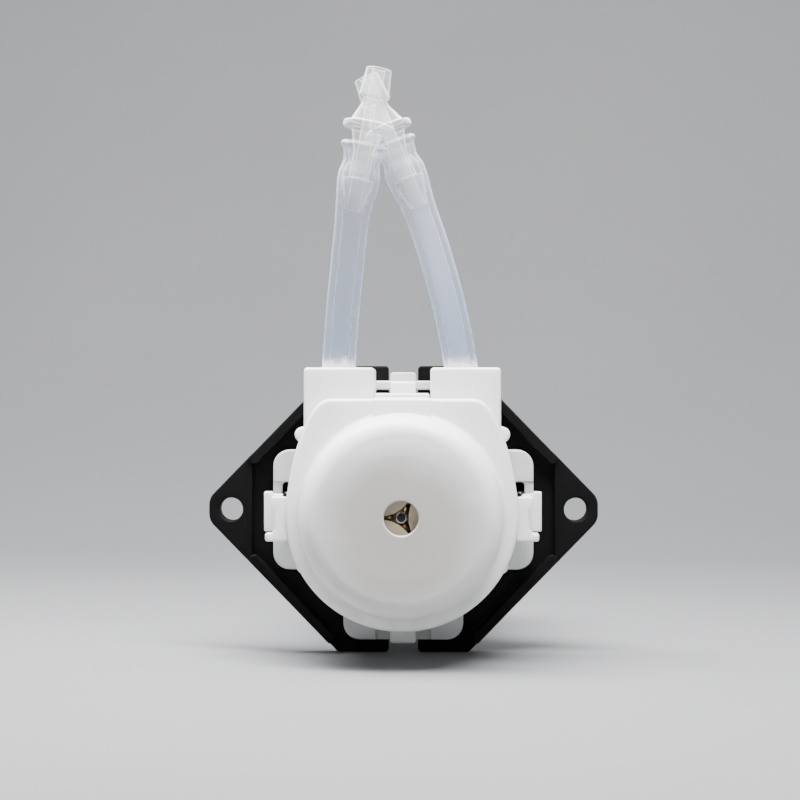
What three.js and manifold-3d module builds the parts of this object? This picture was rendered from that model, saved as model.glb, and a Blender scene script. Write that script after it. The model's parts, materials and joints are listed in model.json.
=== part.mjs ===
// A small peristaltic pump: a DC motor behind a black flange, and a clip-on head in front of it
// whose three rollers run on the motor shaft and squeeze a silicone tube against a round race.
//
// Everything is drawn in the pump's own frame, in millimetres: x to the right, y up the front of the
// flange, z forward along the shaft from the flange's rear face. The exported group turns that frame
// so that y becomes +Z and the front looks along -Y.

import * as THREE from "three";
import { mergeVertices } from "three/addons/utils/BufferGeometryUtils.js";
import Module from "manifold-3d";

const wasm = await Module();
wasm.setup();

// ---- Driving dimensions ------------------------------------------------------------------------

const FINE = 40; // facets round a large circle
const MIDDLE = 28; // facets round a roller
const SMALL = 20; // facets round a pin or a screw
const SLIM = 0.05; // radial play of a shaft in its bush

const PLATE = {
  halfWidth: 28.45,
  halfHeight: 21,
  tipHalf: 1.65, // half of each upright side tip
  edgeHalf: 9.65, // half of the straight top and bottom edges
  wingFront: 3,
  floorFront: 1.7, // the sunk middle that the bracket sits in
  rimFront: 3.6,
  rimWidth: 1.5,
  stepX: 22.1, // where the wings step down to the sunk middle
  holeSpacing: 50.4,
  holeRadius: 1.7,
  notchHalf: 2.15,
  notchFloor: 17.1,
  cornerRadius: 0.8,
  pocketInner: 15, // the pockets that take the latches' hooks
  pocketOuter: 18.7,
  pocketHalf: 4.3,
  pocketFloor: 0.5,
  bossHoleRadius: 5.3,
  screwHoleRadius: 1.4,
  grooveInner: 19.1, // the shallow grooves that part the rear face into a middle and two pads
  grooveWidth: 1,
  grooveDepth: 0.3,
};

const BRACKET = {
  back: 2,
  front: 3.6,
  reach: 19, // each arm's length from the axis
  topReach: 18.8,
  armHalf: 8.75,
  cornerRadius: 2.4,
  slotHalf: 4,
  slotInner: 15.1,
  slotOuter: 17.7,
  windowHalf: 4.05,
  windowTop: 17.5,
  windowFloor: 12.4,
  tabHalf: 1.9,
  tabTop: 20.05,
  tabBottom: 17.8,
  tabBack: 0.6,
  recessTop: -12.4, // the lower arm is thinner in the middle below this height
  recessDepth: 0.6,
  centreHoleRadius: 4.6,
  seatRadius: 2.4, // counterbores for the motor's screws
  seatFloor: 2.6,
};

const SCREW = { radius: 1.1, tip: -2.2, headRadius: 2.1, headBack: 2.75, headFront: 3.6, slotHalf: 0.25 };

const HEAD = {
  back: 3.9,
  floorFront: 5.1,
  front: 13,
  raceRadius: 12.9,
  inset: 0.55, // how far the housing's sides lie inside the cover's
  blockInner: 3.97,
  blockOuter: 13.94,
  blockTop: 20.6,
  postRadius: 1.1,
  posts: [
    [14.15, 11.2],
    [13.88, -7.5],
  ],
  floorHoleRadius: 2,
  bossHalf: 3.8, // the boss at the top, which the cover has too
  bossBottom: 14,
  bossTop: 16.95,
  topHook: { half: 1.8, bottom: 16, top: 18.6, front: 8 },
  lowHook: { half: 1.86, bottom: -19.2, top: -14, front: 6.4 },
};

const COVER = {
  back: 13.2,
  shoulderFront: 17.5,
  front: 25,
  skirtRadius: 16.3,
  skirtEnd: 0.204, // angle above the horizontal, in radians, where the round skirt ends
  top: 16.2,
  cheek: [15.45, 7.2], // steers the curve from the skirt to the leaning side
  lean: [
    [14.3, 10.4],
    [13.4, 12.6],
  ],
  temple: 12, // steers the curve from the leaning side to the top
  topHalf: 9.8,
  domeRadius: 14.05,
  domeFillet: 2.5,
  boreRadius: 12.6,
  wallFront: 23.9, // inside face of the front wall
  hubRadius: 2.35,
};

const SHAFT = { radius: 1, rear: -40, front: 23.6 };
const ROLLER = { radius: 4.75, orbit: 5.82, back: 6.4, front: 23.7, count: 3 };
const PIN = { radius: 0.75, back: 5.4, front: 22.6 };
const CARRIER = { radius: 10.2, back: 5.3, front: 6.2 };

const TUBE = {
  radius: 2.4,
  clearance: 0.12,
  bore: 1.4,
  plane: 9.4, // height of the tube's middle above the flange's rear face
  squeezedHalf: 1.06, // half of the squeezed tube's thickness
  squeezedRun: 2.1, // half of the squeezed tube's flat run
  pathRadius: 11.75, // middle of the squeezed tube along the race
  leave: 0.136, // angle above the horizontal where the tube leaves the race, in radians
  cuffRadius: 3.05, // over the connector's barb
  cuffBore: 2.45,
};

const BARB = {
  tip: 1.2,
  ridge: 2.3,
  neck: 1.45,
  collar: 3.6,
  bore: 0.95,
  ridgeAt: 4.3,
  coneAt: 8.5,
  collarAt: 11.4,
  collarEnd: 12.5,
  upperRoot: 2.7, // where the upper neck meets the collar
  upperNeckAt: 15.2,
  upperRidgeAt: 16.1,
  upperRidge: 2.2,
  upperTip: 1.8,
  length: 20.3,
  leftInTube: 9.4, // how far each connector goes into its tube
  rightInTube: 10,
};

const MOTOR = {
  front: -0.3,
  wall: 1,
  radius: 13.8,
  canRear: -34.6,
  capRear: -37.9,
  bossRadius: 5,
  bossFront: 1.5,
  screwSpacing: 17,
  rearBoss: 0.9, // how far the boss round the rear bearing stands out of the cap
  rearBossRadius: 4.8,
  bossBore: 3.4,
  bearingRadius: 3.25,
  bearingLength: 2.4,
  frontBearing: -1.2,
  rearBearing: -38.6,
  slotHalf: [1.8, 0.6],
  terminalSpacing: 17,
  magnetHalfAngle: 1.05,
  magnetInner: 10.4,
  magnetOuter: 12.5,
  magnetFront: -6,
  magnetRear: -28,
  coreRadius: 9.9,
  coreFront: -9,
  coreRear: -25,
  commutatorRadius: 2.6,
  commutatorFront: -28.6,
  commutatorRear: -33,
  shoeHalfAngle: 0.85,
  shoe: 1.6,
  armHalf: 1.5,
  hub: 3,
};

const TERMINAL = { half: 1.4, thickness: 0.5, rear: -43, front: -34.2, eye: 0.6, eyeAt: -41.4 };
const BRUSH = { half: 0.8, length: 3, rear: -32.2, front: -29.8 };
const WINDING = { inner: 3.7, outer: 7.4, half: 3.1, overhang: 2.2, openHalf: 1.75, openOverhang: 0.2 };

const LATCH = {
  half: 2.85, // half of the flange's height
  armTop: 2.5,
  bottom: -3.7, // underside of the lower bar
  barTop: -2.55,
  root: 16.65,
  legInner: 16.75,
  legOuter: 17.5,
  shoulder: 18.4,
  back: 0.85,
  front: 17.1,
  rootBack: 14.4,
  barBack: 14.6,
  step: 0.2,
  hookFront: 1.6,
  hookSlope: 0.5,
  flangeBack: 6.9,
  flangeFront: 8.9,
  flangeReach: 19.9,
  flangeInner: 18.7, // where the flange's taller rim begins
  barReach: 19.1,
  hookOuter: 18.3,
};

// The tube's route, up from the race to each free end: x, y and z of the middle of the bore.
const LEFT_LEG = [
  [-10.92, 6.85, 9.4],
  [-10.4, 10.4, 9.4],
  [-9.9, 14, 9.4],
  [-9.45, 17.4, 9.4],
  [-9.15, 20.6, 9.42],
  [-8.9, 24.2, 9.62],
  [-8.62, 27.8, 10],
  [-8.25, 31.5, 10.55],
  [-7.85, 35.2, 11.2],
  [-7.45, 38.8, 11.9],
  [-7.01, 42.4, 12.6],
  [-6.45, 45.5, 13.1],
  [-5.88, 48.6, 13.35],
  [-5.25, 51.95, 13.4],
];
const RIGHT_LEG = [
  [10.92, 6.85, 9.4],
  [10.3, 10.4, 9.4],
  [9.6, 14, 9.4],
  [8.95, 17.4, 9.4],
  [8.36, 20.6, 9.38],
  [7.75, 24.2, 9.18],
  [6.99, 27.9, 8.8],
  [6.08, 31.7, 8.3],
  [5.05, 35.5, 7.7],
  [3.86, 39.4, 7.05],
  [2.46, 43.4, 6.45],
  [1.36, 46.25, 6.1],
  [0, 49.7, 5.93],
  [-1.44, 53.2, 5.9],
];

// ---- Materials ---------------------------------------------------------------------------------

function finish(color, roughness, metalness) {
  return new THREE.MeshStandardMaterial({ color, roughness, metalness });
}

const FINISHES = {
  black_plastic: () => finish(0x141416, 0.55, 0),
  white_plastic: () => finish(0xe4e4e2, 0.42, 0),
  roller_plastic: () => finish(0xb9ad95, 0.45, 0),
  silicone: () => finish(0xa9b6cc, 0.3, 0),
  clear_plastic: () => finish(0xc6cace, 0.3, 0),
  steel: () => finish(0xb8b8ba, 0.3, 1),
  zinc_steel: () => finish(0xa4a7aa, 0.38, 1),
  bronze: () => finish(0x9a7545, 0.5, 1),
  copper: () => finish(0xa85a2c, 0.4, 1),
  brass: () => finish(0xb59a55, 0.35, 1),
  ferrite: () => finish(0x2c2c2e, 0.8, 0),
  carbon: () => finish(0x1a1a1a, 0.9, 0),
  cap_plastic: () => finish(0x1c2024, 0.6, 0),
};

// ---- Solids ------------------------------------------------------------------------------------

function solid(geometry) {
  const bare = geometry.clone();
  bare.deleteAttribute("normal");
  bare.deleteAttribute("uv");
  const merged = mergeVertices(bare, 1e-4);
  return new wasm.Manifold(
    new wasm.Mesh({
      numProp: 3,
      vertProperties: new Float32Array(merged.attributes.position.array),
      triVerts: new Uint32Array(merged.index.array),
    }),
  );
}

function surface(body) {
  const mesh = body.getMesh();
  const geometry = new THREE.BufferGeometry();
  geometry.setAttribute("position", new THREE.BufferAttribute(mesh.vertProperties, 3));
  geometry.setIndex(new THREE.BufferAttribute(mesh.triVerts, 1));
  const faceted = geometry.toNonIndexed();
  faceted.computeVertexNormals();
  return faceted;
}

function join(...geometries) {
  const bodies = geometries.map(solid);
  return surface(bodies.reduce((all, body) => all.add(body)));
}

function cut(geometry, ...tools) {
  const bodies = tools.map(solid);
  return surface(bodies.reduce((left, tool) => left.subtract(tool), solid(geometry)));
}

function common(first, second) {
  return surface(solid(first).intersect(solid(second)));
}

function prism(shape, back, front, curveSegments = 6) {
  const depth = front - back;
  const body = new THREE.ExtrudeGeometry(shape, { depth, bevelEnabled: false, curveSegments });
  return body.translate(0, 0, back);
}

function slab(x0, x1, y0, y1, z0, z1) {
  const body = new THREE.BoxGeometry(x1 - x0, y1 - y0, z1 - z0);
  return body.translate((x0 + x1) / 2, (y0 + y1) / 2, (z0 + z1) / 2);
}

function inOrder(a, b) {
  return [Math.min(a, b), Math.max(a, b)];
}

// A slab on one side of the shaft line, from an inner to an outer distance.
function across(side, inner, outer, y0, y1, z0, z1) {
  const [x0, x1] = inOrder(side * inner, side * outer);
  return slab(x0, x1, y0, y1, z0, z1);
}

// A turned body about the shaft line from [radius, z] pairs, listed from back to front.
function turned(pairs, facets = FINE) {
  const profile = pairs.map(([radius, z]) => new THREE.Vector2(radius, z));
  return new THREE.LatheGeometry(profile, facets).rotateX(Math.PI / 2);
}

function disc(radius, back, front, x = 0, y = 0, facets = SMALL) {
  const pairs = [
    [0, back],
    [radius, back],
    [radius, front],
    [0, front],
  ];
  return turned(pairs, facets).translate(x, y, 0);
}

function ring(inner, outer, back, front, facets = MIDDLE) {
  const pairs = [
    [inner, back],
    [outer, back],
    [outer, front],
    [inner, front],
    [inner, back],
  ];
  return turned(pairs, facets);
}

// A closed outline from [x, y, corner radius] corners, each rounded by a curve to its neighbours.
function rounded(corners) {
  const shape = new THREE.Shape();
  const at = corners.map(([x, y]) => new THREE.Vector2(x, y));
  corners.forEach(([, , radius], i) => {
    const before = at[(i + at.length - 1) % at.length];
    const after = at[(i + 1) % at.length];
    const enter = at[i].clone().add(before.clone().sub(at[i]).setLength(radius || 1e-6));
    const leave = at[i].clone().add(after.clone().sub(at[i]).setLength(radius || 1e-6));
    if (i === 0) shape.moveTo(enter.x, enter.y);
    else shape.lineTo(enter.x, enter.y);
    if (radius) shape.quadraticCurveTo(at[i].x, at[i].y, leave.x, leave.y);
  });
  shape.closePath();
  return shape;
}

function rectangle(x0, x1, y0, y1, radius = 0) {
  return rounded([
    [x0, y0, radius],
    [x1, y0, radius],
    [x1, y1, radius],
    [x0, y1, radius],
  ]);
}

function circle(radius) {
  return new THREE.Shape().absarc(0, 0, radius, 0, 2 * Math.PI);
}

function along(shape, curve, steps, curveSegments = 3) {
  return new THREE.ExtrudeGeometry(shape, { extrudePath: curve, steps, curveSegments });
}

function curveThrough(points) {
  return new THREE.CatmullRomCurve3(points.map((p) => new THREE.Vector3(...p)));
}

// Turns a body made along +z so that it stands on a point and looks along a direction.
function aimed(geometry, point, direction) {
  const turn = new THREE.Quaternion().setFromUnitVectors(new THREE.Vector3(0, 0, 1), direction);
  return geometry.applyQuaternion(turn).translate(point.x, point.y, point.z);
}

const SIDES = [-1, 1];

// ---- Flange and bracket ------------------------------------------------------------------------

function plateOutline(inset) {
  const { halfWidth, halfHeight, tipHalf, edgeHalf, cornerRadius } = PLATE;
  const x = halfWidth - inset;
  const y = halfHeight - inset;
  const corner = inset * 0.4; // what the slanted edges take off each straight one
  const tip = Math.max(tipHalf - corner, 0.2);
  const edge = edgeHalf - corner;
  return rounded([
    [x, -tip, cornerRadius],
    [x, tip, cornerRadius],
    [edge, y, cornerRadius],
    [-edge, y, cornerRadius],
    [-x, tip, cornerRadius],
    [-x, -tip, cornerRadius],
    [-edge, -y, cornerRadius],
    [edge, -y, cornerRadius],
  ]);
}

function mountingPlate() {
  const { wingFront, floorFront, rimFront, rimWidth, stepX, halfHeight, notchHalf } = PLATE;
  const { pocketInner, pocketOuter, pocketHalf, pocketFloor, grooveInner, grooveDepth } = PLATE;
  const beyond = halfHeight + 1;
  const above = rimFront + 1;
  const grooveOuter = grooveInner + PLATE.grooveWidth;
  const tools = [];
  for (const side of SIDES) {
    tools.push(across(side, stepX, PLATE.halfWidth + 1, -beyond, beyond, wingFront, above));
    tools.push(disc(PLATE.holeRadius, -1, above, (side * PLATE.holeSpacing) / 2));
    tools.push(across(side, pocketInner, pocketOuter, -pocketHalf, pocketHalf, pocketFloor, above));
    tools.push(across(side, grooveInner, grooveOuter, -beyond, beyond, -1, grooveDepth));
    tools.push(disc(PLATE.screwHoleRadius, -1, above, (side * MOTOR.screwSpacing) / 2));
    const [y0, y1] = inOrder(side * PLATE.notchFloor, side * beyond);
    tools.push(slab(-notchHalf, notchHalf, y0, y1, -1, above));
  }
  const sunk = prism(plateOutline(rimWidth), floorFront, above);
  tools.push(common(sunk, slab(-stepX, stepX, -beyond, beyond, 0, above + 1)));
  tools.push(disc(PLATE.bossHoleRadius, -1, above, 0, 0, MIDDLE));
  return cut(prism(plateOutline(0), 0, rimFront), ...tools);
}

function clipBracket() {
  const { back, front, reach, topReach, armHalf, cornerRadius, slotHalf } = BRACKET;
  const { windowHalf, windowTop, windowFloor, tabHalf, tabBottom, tabTop, tabBack } = BRACKET;
  const levelShape = rectangle(-reach, reach, -armHalf, armHalf, cornerRadius);
  const uprightShape = rectangle(-armHalf, armHalf, -reach, topReach, cornerRadius);
  const tabShape = rectangle(-tabHalf, tabHalf, tabBottom, tabTop, 0.5);
  const level = prism(levelShape, back, front);
  const upright = prism(uprightShape, back, front);
  const tab = prism(tabShape, tabBack, front - 0.2);
  const windowShape = rectangle(-windowHalf, windowHalf, windowFloor, windowTop, 0.3);
  const recessFloor = front - BRACKET.recessDepth;
  const tools = [
    prism(windowShape, back - 1, front + 1),
    slab(-windowHalf, windowHalf, -reach - 1, BRACKET.recessTop, recessFloor, front + 1),
    disc(BRACKET.centreHoleRadius, back - 1, front + 1, 0, 0, MIDDLE),
  ];
  for (const side of SIDES) {
    const [x0, x1] = inOrder(side * BRACKET.slotInner, side * BRACKET.slotOuter);
    tools.push(prism(rectangle(x0, x1, -slotHalf, slotHalf, 0.5), back - 1, front + 1));
    const x = (side * MOTOR.screwSpacing) / 2;
    tools.push(disc(PLATE.screwHoleRadius, back - 1, front + 1, x));
    tools.push(disc(BRACKET.seatRadius, BRACKET.seatFloor, front + 1, x));
  }
  return cut(join(level, upright, tab), ...tools);
}

function motorScrew(side) {
  const { radius, tip, headRadius, headBack, headFront, slotHalf } = SCREW;
  const body = turned(
    [
      [0, tip],
      [radius, tip],
      [radius, headBack],
      [headRadius, headBack],
      [headRadius, headFront - 0.3],
      [headRadius - 0.4, headFront],
      [0, headFront],
    ],
    SMALL,
  );
  const slot = slab(-headRadius - 1, headRadius + 1, -slotHalf, slotHalf, headFront - 0.45, headFront + 1);
  return cut(body, slot).translate((side * MOTOR.screwSpacing) / 2, 0, 0);
}

// ---- Pump head ---------------------------------------------------------------------------------

// The head's outline: a round skirt below, sides that lean in above it, and rounded shoulders.
function headOutline(inset) {
  const { skirtRadius, skirtEnd, cheek, lean, temple, topHalf } = COVER;
  const radius = skirtRadius - inset;
  const top = COVER.top - inset;
  const [start, end] = lean;
  const shape = new THREE.Shape();
  shape.absarc(0, 0, radius, Math.PI - skirtEnd, 2 * Math.PI + skirtEnd);
  shape.quadraticCurveTo(cheek[0] - inset, cheek[1], start[0] - inset, start[1]);
  shape.lineTo(end[0] - inset, end[1]);
  shape.quadraticCurveTo(temple - inset, top, topHalf - inset, top);
  shape.lineTo(inset - topHalf, top);
  shape.quadraticCurveTo(inset - temple, top, inset - end[0], end[1]);
  shape.lineTo(inset - start[0], start[1]);
  const skirtX = -radius * Math.cos(skirtEnd);
  const skirtY = radius * Math.sin(skirtEnd);
  shape.quadraticCurveTo(inset - cheek[0], cheek[1], skirtX, skirtY);
  return shape;
}

const squeezedSection = (() => {
  const { squeezedHalf, squeezedRun } = TUBE;
  const shape = new THREE.Shape();
  shape.absarc(squeezedRun, 0, squeezedHalf, -Math.PI / 2, Math.PI / 2);
  shape.absarc(-squeezedRun, 0, squeezedHalf, Math.PI / 2, (3 * Math.PI) / 2);
  return shape;
})();

function pointOnExit(side, distance) {
  const { pathRadius, leave, plane } = TUBE;
  const x = pathRadius * Math.cos(leave) - distance * Math.sin(leave);
  const y = pathRadius * Math.sin(leave) + distance * Math.cos(leave);
  return new THREE.Vector3(side * x, y, plane);
}

function racePath() {
  const points = [pointOnExit(-1, 5.6), pointOnExit(-1, 2.8)];
  const steps = 24;
  for (let i = 0; i <= steps; i++) {
    const angle = Math.PI - TUBE.leave + ((Math.PI + 2 * TUBE.leave) * i) / steps;
    points.push(
      new THREE.Vector3(
        TUBE.pathRadius * Math.cos(angle),
        TUBE.pathRadius * Math.sin(angle),
        TUBE.plane,
      ),
    );
  }
  points.push(pointOnExit(1, 2.8), pointOnExit(1, 5.6));
  return new THREE.CatmullRomCurve3(points);
}

const legs = { left: curveThrough(LEFT_LEG), right: curveThrough(RIGHT_LEG) };

function legEnd(curve) {
  return { point: curve.getPointAt(1), direction: curve.getTangentAt(1) };
}

function headHousing() {
  const { back, floorFront, front, inset, blockInner, blockOuter, blockTop, postRadius } = HEAD;
  const { bossHalf, bossBottom, bossTop, topHook, lowHook } = HEAD;
  const parts = [prism(headOutline(inset), back, front, 12)];
  for (const side of SIDES) {
    const [x0, x1] = inOrder(side * blockInner, side * blockOuter);
    parts.push(prism(rectangle(x0, x1, 8, blockTop, 0.4), back, front, 3));
    for (const [x, y] of HEAD.posts) {
      parts.push(disc(postRadius, back, front, side * x, y, 16));
    }
  }
  parts.push(slab(-bossHalf, bossHalf, bossBottom, bossTop, back, front));
  for (const { half, bottom, top, front: hookFront } of [topHook, lowHook]) {
    parts.push(slab(-half, half, bottom, top, back, hookFront));
  }
  const tools = [
    disc(HEAD.raceRadius, floorFront, front + 1, 0, 0, FINE),
    disc(HEAD.floorHoleRadius, back - 1, floorFront + 1),
  ];
  for (const side of SIDES) {
    const route = side < 0 ? LEFT_LEG : RIGHT_LEG;
    const lower = new THREE.LineCurve3(pointOnExit(side, 0), new THREE.Vector3(...route[1]));
    tools.push(along(rectangle(-3.4, 3.4, -2.5, 2.5, 0.8), lower, 1));
    const channel = circle(TUBE.radius + TUBE.clearance);
    tools.push(along(channel, curveThrough(route.slice(0, 7)), 6, 8));
  }
  return cut(join(...parts), ...tools);
}

function headCover() {
  const { back, shoulderFront, front, domeRadius, domeFillet, boreRadius, wallFront } = COVER;
  const { bossHalf, bossBottom, bossTop } = HEAD;
  const skirt = prism(headOutline(0), back, shoulderFront, 12);
  const fillet = [0, 1, 2, 3, 4].map((i) => {
    const angle = (i * Math.PI) / 8;
    const radius = domeRadius - domeFillet * (1 - Math.cos(angle));
    return [radius, front - domeFillet * (1 - Math.sin(angle))];
  });
  const dome = turned([[0, back + 1], [domeRadius, back + 1], ...fillet, [0, front]]);
  const boss = slab(-bossHalf, bossHalf, bossBottom, bossTop, back, shoulderFront - 0.3);
  const cavity = turned([
    [0, back - 1],
    [boreRadius, back - 1],
    [boreRadius, wallFront - 1.2],
    [boreRadius - 0.5, wallFront - 0.3],
    [boreRadius - 1.3, wallFront],
    [0, wallFront],
  ]);
  const hub = disc(COVER.hubRadius, wallFront - 1, front + 1, 0, 0, MIDDLE);
  return cut(join(skirt, dome, boss), cavity, hub);
}

// One side latch: a springy arm from the head's shoulder back through the bracket's slot, with a
// hook behind the bracket and a flange to press.
function latch(side) {
  const { half, armTop, bottom, barTop, root, legInner, legOuter, shoulder, back, front, step } = LATCH;
  const { rootBack, barBack, hookOuter, hookFront, hookSlope, flangeBack, flangeFront } = LATCH;
  const corners = [
    [legInner, back, 0],
    [hookOuter, back + hookSlope, 0.2],
    [hookOuter, hookFront, 0],
    [legOuter, hookFront, 0],
    [legOuter, flangeBack, 0],
    [LATCH.flangeReach, flangeBack, 0.3],
    [LATCH.flangeReach, flangeFront, 0.3],
    [shoulder - step, flangeFront, 0],
    [shoulder - step, rootBack, 0],
    [shoulder, front, 0.4],
    [root, front, 0],
    [root, rootBack + 4 * step, 0],
    [legInner + step / 2, rootBack, 0],
  ];
  // The side view, in x and z, is stood up so that its thickness runs along y.
  const sideView = rounded(corners.map(([x, z, radius]) => [side * x, z, radius]));
  const arm = prism(sideView, -armTop, half, 4).rotateX(Math.PI / 2);
  const bar = across(side, root, LATCH.barReach, bottom, barTop, barBack, front);
  const rim = across(side, LATCH.flangeInner, LATCH.flangeReach, -half, half, flangeBack, flangeFront);
  return join(arm, bar, rim);
}

function tubeCuff({ point, direction }) {
  const { cuffRadius, cuffBore, radius } = TUBE;
  const start = -BARB.rightInTube - 0.6;
  const outside = [
    [0, start - 1.4],
    [radius, start - 1.4],
    [cuffRadius, start + 2.5],
    [cuffRadius, start + 6],
    [radius + 0.3, start + 8],
    [radius + 0.35, 0],
    [0, 0],
  ];
  const inside = [
    [0, start],
    [TUBE.bore, start],
    [cuffBore, start + 2],
    [cuffBore, 1],
    [0, 1],
  ];
  return {
    outside: aimed(turned(outside, 16), point, direction),
    inside: aimed(turned(inside, 16), point, direction),
  };
}

function pumpTube() {
  const cuffs = Object.values(legs).map((leg) => tubeCuff(legEnd(leg)));
  const flat = along(squeezedSection, racePath(), 28);
  const outsides = Object.values(legs).map((leg) => along(circle(TUBE.radius), leg, 12, 6));
  const bores = Object.values(legs).map((leg) => along(circle(TUBE.bore), leg, 12, 5));
  const whole = join(flat, ...outsides, ...cuffs.map((cuff) => cuff.outside));
  return cut(whole, ...bores, ...cuffs.map((cuff) => cuff.inside));
}

function barbedConnector({ point, direction }, inTube) {
  const b = BARB;
  const body = turned(
    [
      [b.bore, 0],
      [b.tip, 0],
      [b.ridge, b.ridgeAt],
      [b.neck, b.ridgeAt + 0.2],
      [b.neck, b.coneAt],
      [b.ridge, b.collarAt - 0.3],
      [b.collar, b.collarAt],
      [b.collar, b.collarEnd],
      [b.upperRoot, b.collarEnd + 0.1],
      [b.neck, b.upperNeckAt],
      [b.neck, b.upperRidgeAt],
      [b.upperRidge, b.upperRidgeAt + 0.2],
      [b.upperTip, b.length],
      [b.bore, b.length],
      [b.bore, 0],
    ],
    24,
  );
  const start = point.clone().addScaledVector(direction, -inTube);
  return aimed(body, start, direction);
}

// ---- Rollers and carrier -----------------------------------------------------------------------

function rollerCentre(index) {
  const angle = (2 * Math.PI * index) / ROLLER.count;
  return [ROLLER.orbit * Math.cos(angle), ROLLER.orbit * Math.sin(angle)];
}

function roller(index) {
  const { radius, back, front } = ROLLER;
  const bore = PIN.radius + 0.08;
  const body = turned(
    [
      [bore, back],
      [radius - 0.3, back],
      [radius, back + 0.3],
      [radius, front - 0.3],
      [radius - 0.3, front],
      [bore, front],
      [bore, back],
    ],
    MIDDLE,
  );
  return body.translate(...rollerCentre(index), 0);
}

function rollerPin(index) {
  const { radius, back, front } = PIN;
  const pairs = [
    [0, back],
    [radius, back],
    [radius, front - 0.2],
    [radius - 0.2, front],
    [0, front],
  ];
  return turned(pairs, SMALL).translate(...rollerCentre(index), 0);
}

function rollerCarrier() {
  const { radius, back, front } = CARRIER;
  const plate = ring(SHAFT.radius + SLIM, radius, back, front, FINE);
  const tools = [];
  for (let i = 0; i < ROLLER.count; i++) {
    tools.push(disc(PIN.radius + SLIM, back - 1, front + 1, ...rollerCentre(i)));
  }
  return cut(plate, ...tools);
}

// ---- Motor -------------------------------------------------------------------------------------

function motorShaft() {
  const { radius, rear, front } = SHAFT;
  return turned(
    [
      [0, rear],
      [radius - 0.2, rear],
      [radius, rear + 0.2],
      [radius, front - 0.45],
      [0.55, front],
      [0, front],
    ],
    24,
  );
}

function motorCan() {
  const { front, wall, radius, canRear, bossRadius, bossFront, bossBore } = MOTOR;
  const body = turned([
    [radius - wall, canRear],
    [radius, canRear],
    [radius, front - 1],
    [radius - 0.3, front - 0.3],
    [radius - 1, front],
    [bossRadius, front],
    [bossRadius, bossFront],
    [bossBore, bossFront],
    [bossBore, front - wall],
    [radius - wall, front - wall],
    [radius - wall, canRear],
  ]);
  const holes = SIDES.map((side) => disc(1.3, -3, 1, (side * MOTOR.screwSpacing) / 2));
  return cut(body, ...holes);
}

function motorEndCap() {
  const { radius, wall, canRear, capRear, rearBossRadius, bossBore, slotHalf } = MOTOR;
  const bossRear = capRear - MOTOR.rearBoss;
  const lipOuter = radius - wall - 0.15;
  const lipInner = radius - wall - 1.4;
  const body = turned([
    [bossBore, bossRear],
    [rearBossRadius, bossRear],
    [rearBossRadius, capRear],
    [radius - 0.5, capRear],
    [radius - 0.1, capRear + 0.4],
    [radius - 0.1, canRear - 0.15],
    [lipOuter, canRear - 0.15],
    [lipOuter, canRear + 2],
    [lipInner, canRear + 2],
    [lipInner, canRear - 1],
    [bossBore, canRear - 1],
    [bossBore, bossRear],
  ]);
  const [x, y] = slotHalf;
  const slot = slab(-x, x, -y, y, capRear - 1, canRear + 3);
  const slots = SIDES.map((side) => slot.clone().translate(0, terminalHeight(side), 0));
  return cut(body, ...slots);
}

function terminalHeight(side) {
  return (side * MOTOR.terminalSpacing) / 2;
}

function terminal(side) {
  const { half, thickness, rear, front, eye, eyeAt } = TERMINAL;
  const blade = slab(-half, half, -thickness / 2, thickness / 2, rear, front);
  const hole = disc(eye, -thickness, thickness, 0, 0, 12).rotateX(Math.PI / 2);
  return cut(blade, hole.translate(0, 0, eyeAt)).translate(0, terminalHeight(side), 0);
}

function brush(side) {
  const { half, length, rear, front } = BRUSH;
  const inner = MOTOR.commutatorRadius + 0.1;
  const [y0, y1] = inOrder(side * inner, side * (inner + length));
  return slab(-half, half, y0, y1, rear, front);
}

function magnet(side) {
  const { magnetInner, magnetOuter, magnetFront, magnetRear, magnetHalfAngle } = MOTOR;
  const middle = side > 0 ? 0 : Math.PI;
  const start = middle - magnetHalfAngle;
  const end = middle + magnetHalfAngle;
  const shape = new THREE.Shape();
  shape.absarc(0, 0, magnetOuter, start, end);
  shape.absarc(0, 0, magnetInner, end, start, true);
  return prism(shape, magnetRear, magnetFront, 12);
}

function armatureCore() {
  const { coreRadius, coreFront, coreRear, shoe, armHalf, hub, shoeHalfAngle } = MOTOR;
  const inner = coreRadius - shoe;
  const atArm = armHalf / inner;
  const atHub = armHalf / hub;
  const shape = new THREE.Shape();
  for (let i = 0; i < 3; i++) {
    const middle = (i * 2 * Math.PI) / 3;
    const next = middle + (2 * Math.PI) / 3;
    shape.absarc(0, 0, coreRadius, middle - shoeHalfAngle, middle + shoeHalfAngle);
    shape.absarc(0, 0, inner, middle + shoeHalfAngle, middle + atArm, true);
    shape.lineTo(Math.cos(middle + atHub) * hub, Math.sin(middle + atHub) * hub);
    shape.lineTo(Math.cos(next - atHub) * hub, Math.sin(next - atHub) * hub);
    shape.absarc(0, 0, inner, next - atArm, next - shoeHalfAngle, true);
  }
  const bore = disc(SHAFT.radius + SLIM, coreRear - 1, coreFront + 1, 0, 0, 24);
  return cut(prism(shape, coreRear, coreFront, 8), bore);
}

function winding(index) {
  const { inner, outer, half, overhang, openHalf, openOverhang } = WINDING;
  const { coreFront, coreRear } = MOTOR;
  const coil = slab(inner, outer, -half, half, coreRear - overhang, coreFront + overhang);
  const rear = coreRear - openOverhang;
  const front = coreFront + openOverhang;
  const opening = slab(inner - 1, outer + 1, -openHalf, openHalf, rear, front);
  return cut(coil, opening).rotateZ((index * 2 * Math.PI) / 3);
}

function bearing(rear) {
  const bore = SHAFT.radius + SLIM;
  return ring(bore, MOTOR.bearingRadius, rear, rear + MOTOR.bearingLength, 24);
}

// ---- Assembly ----------------------------------------------------------------------------------

const pump = new THREE.Group();
pump.rotation.x = Math.PI / 2;

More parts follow.
